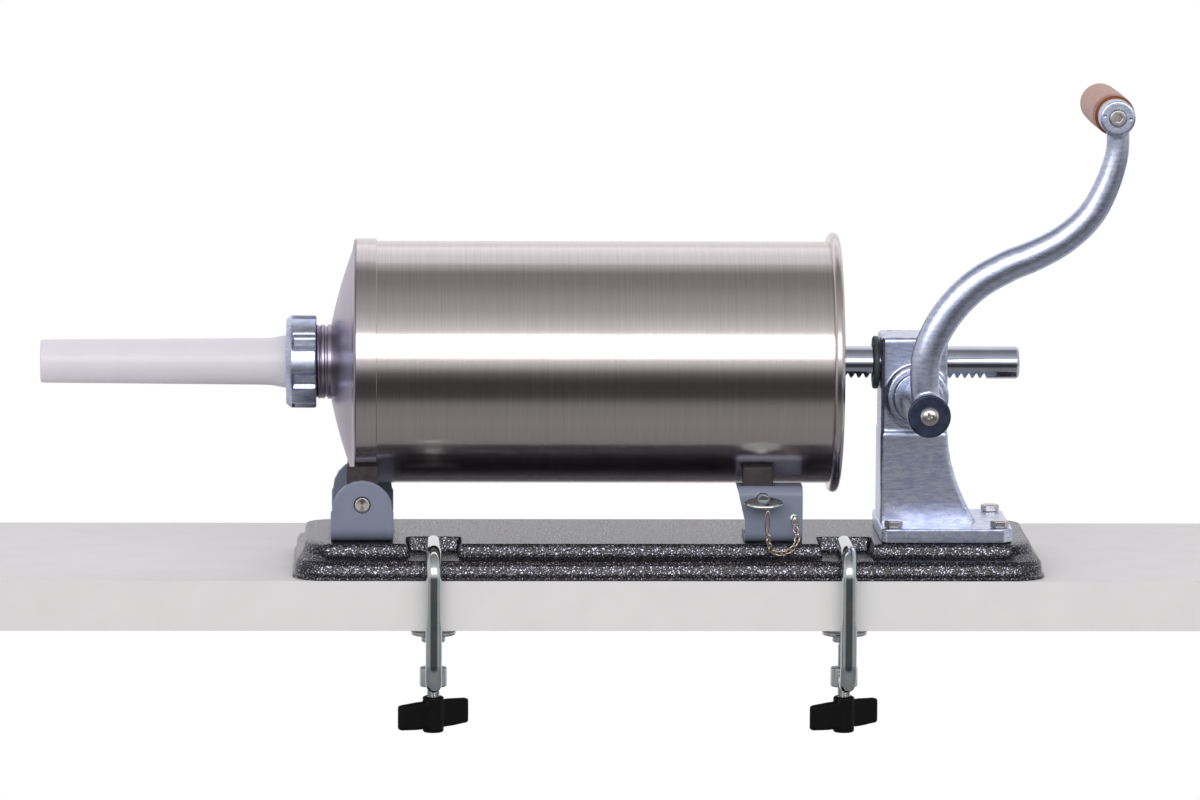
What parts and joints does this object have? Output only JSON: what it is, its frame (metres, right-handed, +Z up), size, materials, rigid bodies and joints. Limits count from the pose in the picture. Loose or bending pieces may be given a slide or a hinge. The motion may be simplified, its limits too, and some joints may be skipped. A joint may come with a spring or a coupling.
{
  "type": "sausage stuffer",
  "caption": "Horizontal crank-driven sausage stuffer: steel cylinder with screw-on nozzle, rack and pinion piston drive in a cast housing, pressed base and bench clamps.",
  "frame": {"origin": "centre of the base plate's underside, on the bench top; the clamps hang below it", "axes": "+X towards the crank end along the cylinder, -Y towards the bench edge and the person, +Z up"},
  "size_m": [0.6675, 0.2081, 0.4007],
  "materials": {
    "hammertone": "black and silver hammertone",
    "powder": "semi-gloss powder coat",
    "stainless": "brushed",
    "aluminium": "tumbled satin",
    "chrome": "bright",
    "zinc": "zinc plated",
    "bronze": "machined",
    "rubber": "matt",
    "plastic": "moulded",
    "polypropylene": "milky satin",
    "wood": "turned and oiled",
    "chain": "nickelled"
  },
  "bodies": {
    "base": {"base_plate": "hammertone", "front_yoke": "powder", "rear_bracket": "powder", "cylinder_tube": "stainless", "front_cone": "stainless", "threaded_neck": "stainless", "hinge_shaft": "stainless", "hinge_saddle": "stainless", "locking_lug": "stainless", "yoke_screw_1": "stainless", "yoke_screw_2": "stainless", "yoke_nut_1": "stainless", "yoke_nut_2": "stainless", "bracket_screw_1": "stainless", "bracket_screw_2": "stainless", "bracket_nut_1": "stainless", "bracket_nut_2": "stainless", "housing_bolt_1": "stainless", "housing_bolt_2": "stainless", "housing_bolt_3": "stainless", "housing_bolt_4": "stainless", "housing_nut_1": "stainless", "housing_nut_2": "stainless", "housing_nut_3": "stainless", "gear_housing": "aluminium", "crank_bush_front": "aluminium", "clamp_rod_left": "zinc", "clamp_rod_right": "zinc", "rack_bush_left": "bronze", "rack_bush_right": "bronze", "crank_bush_rear": "bronze", "rack_wiper": "rubber", "pin_chain": "chain"},
    "crank": {"pinion": "zinc", "crank_shaft": "zinc", "shaft_collar": "zinc", "crank_arm": "aluminium", "hub_washer": "zinc", "hub_screw": "stainless", "grip_bolt": "stainless", "grip_nut": "stainless"},
    "grip": {"crank_grip": "wood"},
    "piston": {"rack_bar": "chrome", "piston_disc": "aluminium", "piston_seal": "rubber", "piston_nut": "stainless"},
    "pin": {"locking_pin": "zinc"},
    "nozzle": {"nozzle": "polypropylene"},
    "ring": {"nozzle_ring": "aluminium"},
    "pad_left": {"clamp_pad_left": "zinc"},
    "pad_right": {"clamp_pad_right": "zinc"},
    "screw_left": {"clamp_spindle_left": "zinc", "wing_handle_left": "plastic"},
    "screw_right": {"clamp_spindle_right": "zinc", "wing_handle_right": "plastic"}
  },
  "joints": [
    {"name": "crank_turn", "type": "hinge", "parent": "base", "child": "crank", "pos_m": [0.1547, 0.002, 0.1075], "axis": [0, 1, 0], "range_deg": [-88, 80]},
    {"name": "piston_travel", "type": "slide", "parent": "base", "child": "piston", "axis": [1, 0, 0], "range_m": [-0.0165, 0.015]},
    {"name": "grip_spin", "type": "hinge", "parent": "crank", "child": "grip", "pos_m": [0.2669, 0.002, 0.2886], "axis": [0, 1, 0], "continuous": true},
    {"name": "pin_pull", "type": "slide", "parent": "base", "child": "pin", "axis": [0, -1, 0], "range_m": [0, 0.045]},
    {"name": "nozzle_slide", "type": "slide", "parent": "base", "child": "nozzle", "axis": [-1, 0, 0], "range_m": [0, 0.0105]},
    {"name": "ring_turn", "type": "hinge", "parent": "nozzle", "child": "ring", "pos_m": [-0.22, 0.002, 0.126], "axis": [-1, 0, 0], "range_deg": [0, 1260]},
    {"name": "pad_slide_left", "type": "slide", "parent": "base", "child": "pad_left", "axis": [0, 0, 1], "range_m": [-0.015, 0.0055]},
    {"name": "screw_turn_left", "type": "hinge", "parent": "pad_left", "child": "screw_left", "pos_m": [-0.1448, -0.041, -0.07], "axis": [0, 0, 1], "range_deg": [-4322, 1586]},
    {"name": "pad_slide_right", "type": "slide", "parent": "base", "child": "pad_right", "axis": [0, 0, 1], "range_m": [-0.015, 0.0055]},
    {"name": "screw_turn_right", "type": "hinge", "parent": "pad_right", "child": "screw_right", "pos_m": [0.1094, -0.041, -0.07], "axis": [0, 0, 1], "range_deg": [-4322, 1586]}
  ],
  "couplings": [
    {"joint": "piston_travel", "follows": "crank_turn", "m_per_rad": 0.0105},
    {"joint": "nozzle_slide", "follows": "ring_turn", "m_per_rad": 0.00047746},
    {"joint": "screw_turn_left", "follows": "pad_slide_left", "rad_per_m": 5026.5},
    {"joint": "screw_turn_right", "follows": "pad_slide_right", "rad_per_m": 5026.5}
  ]
}
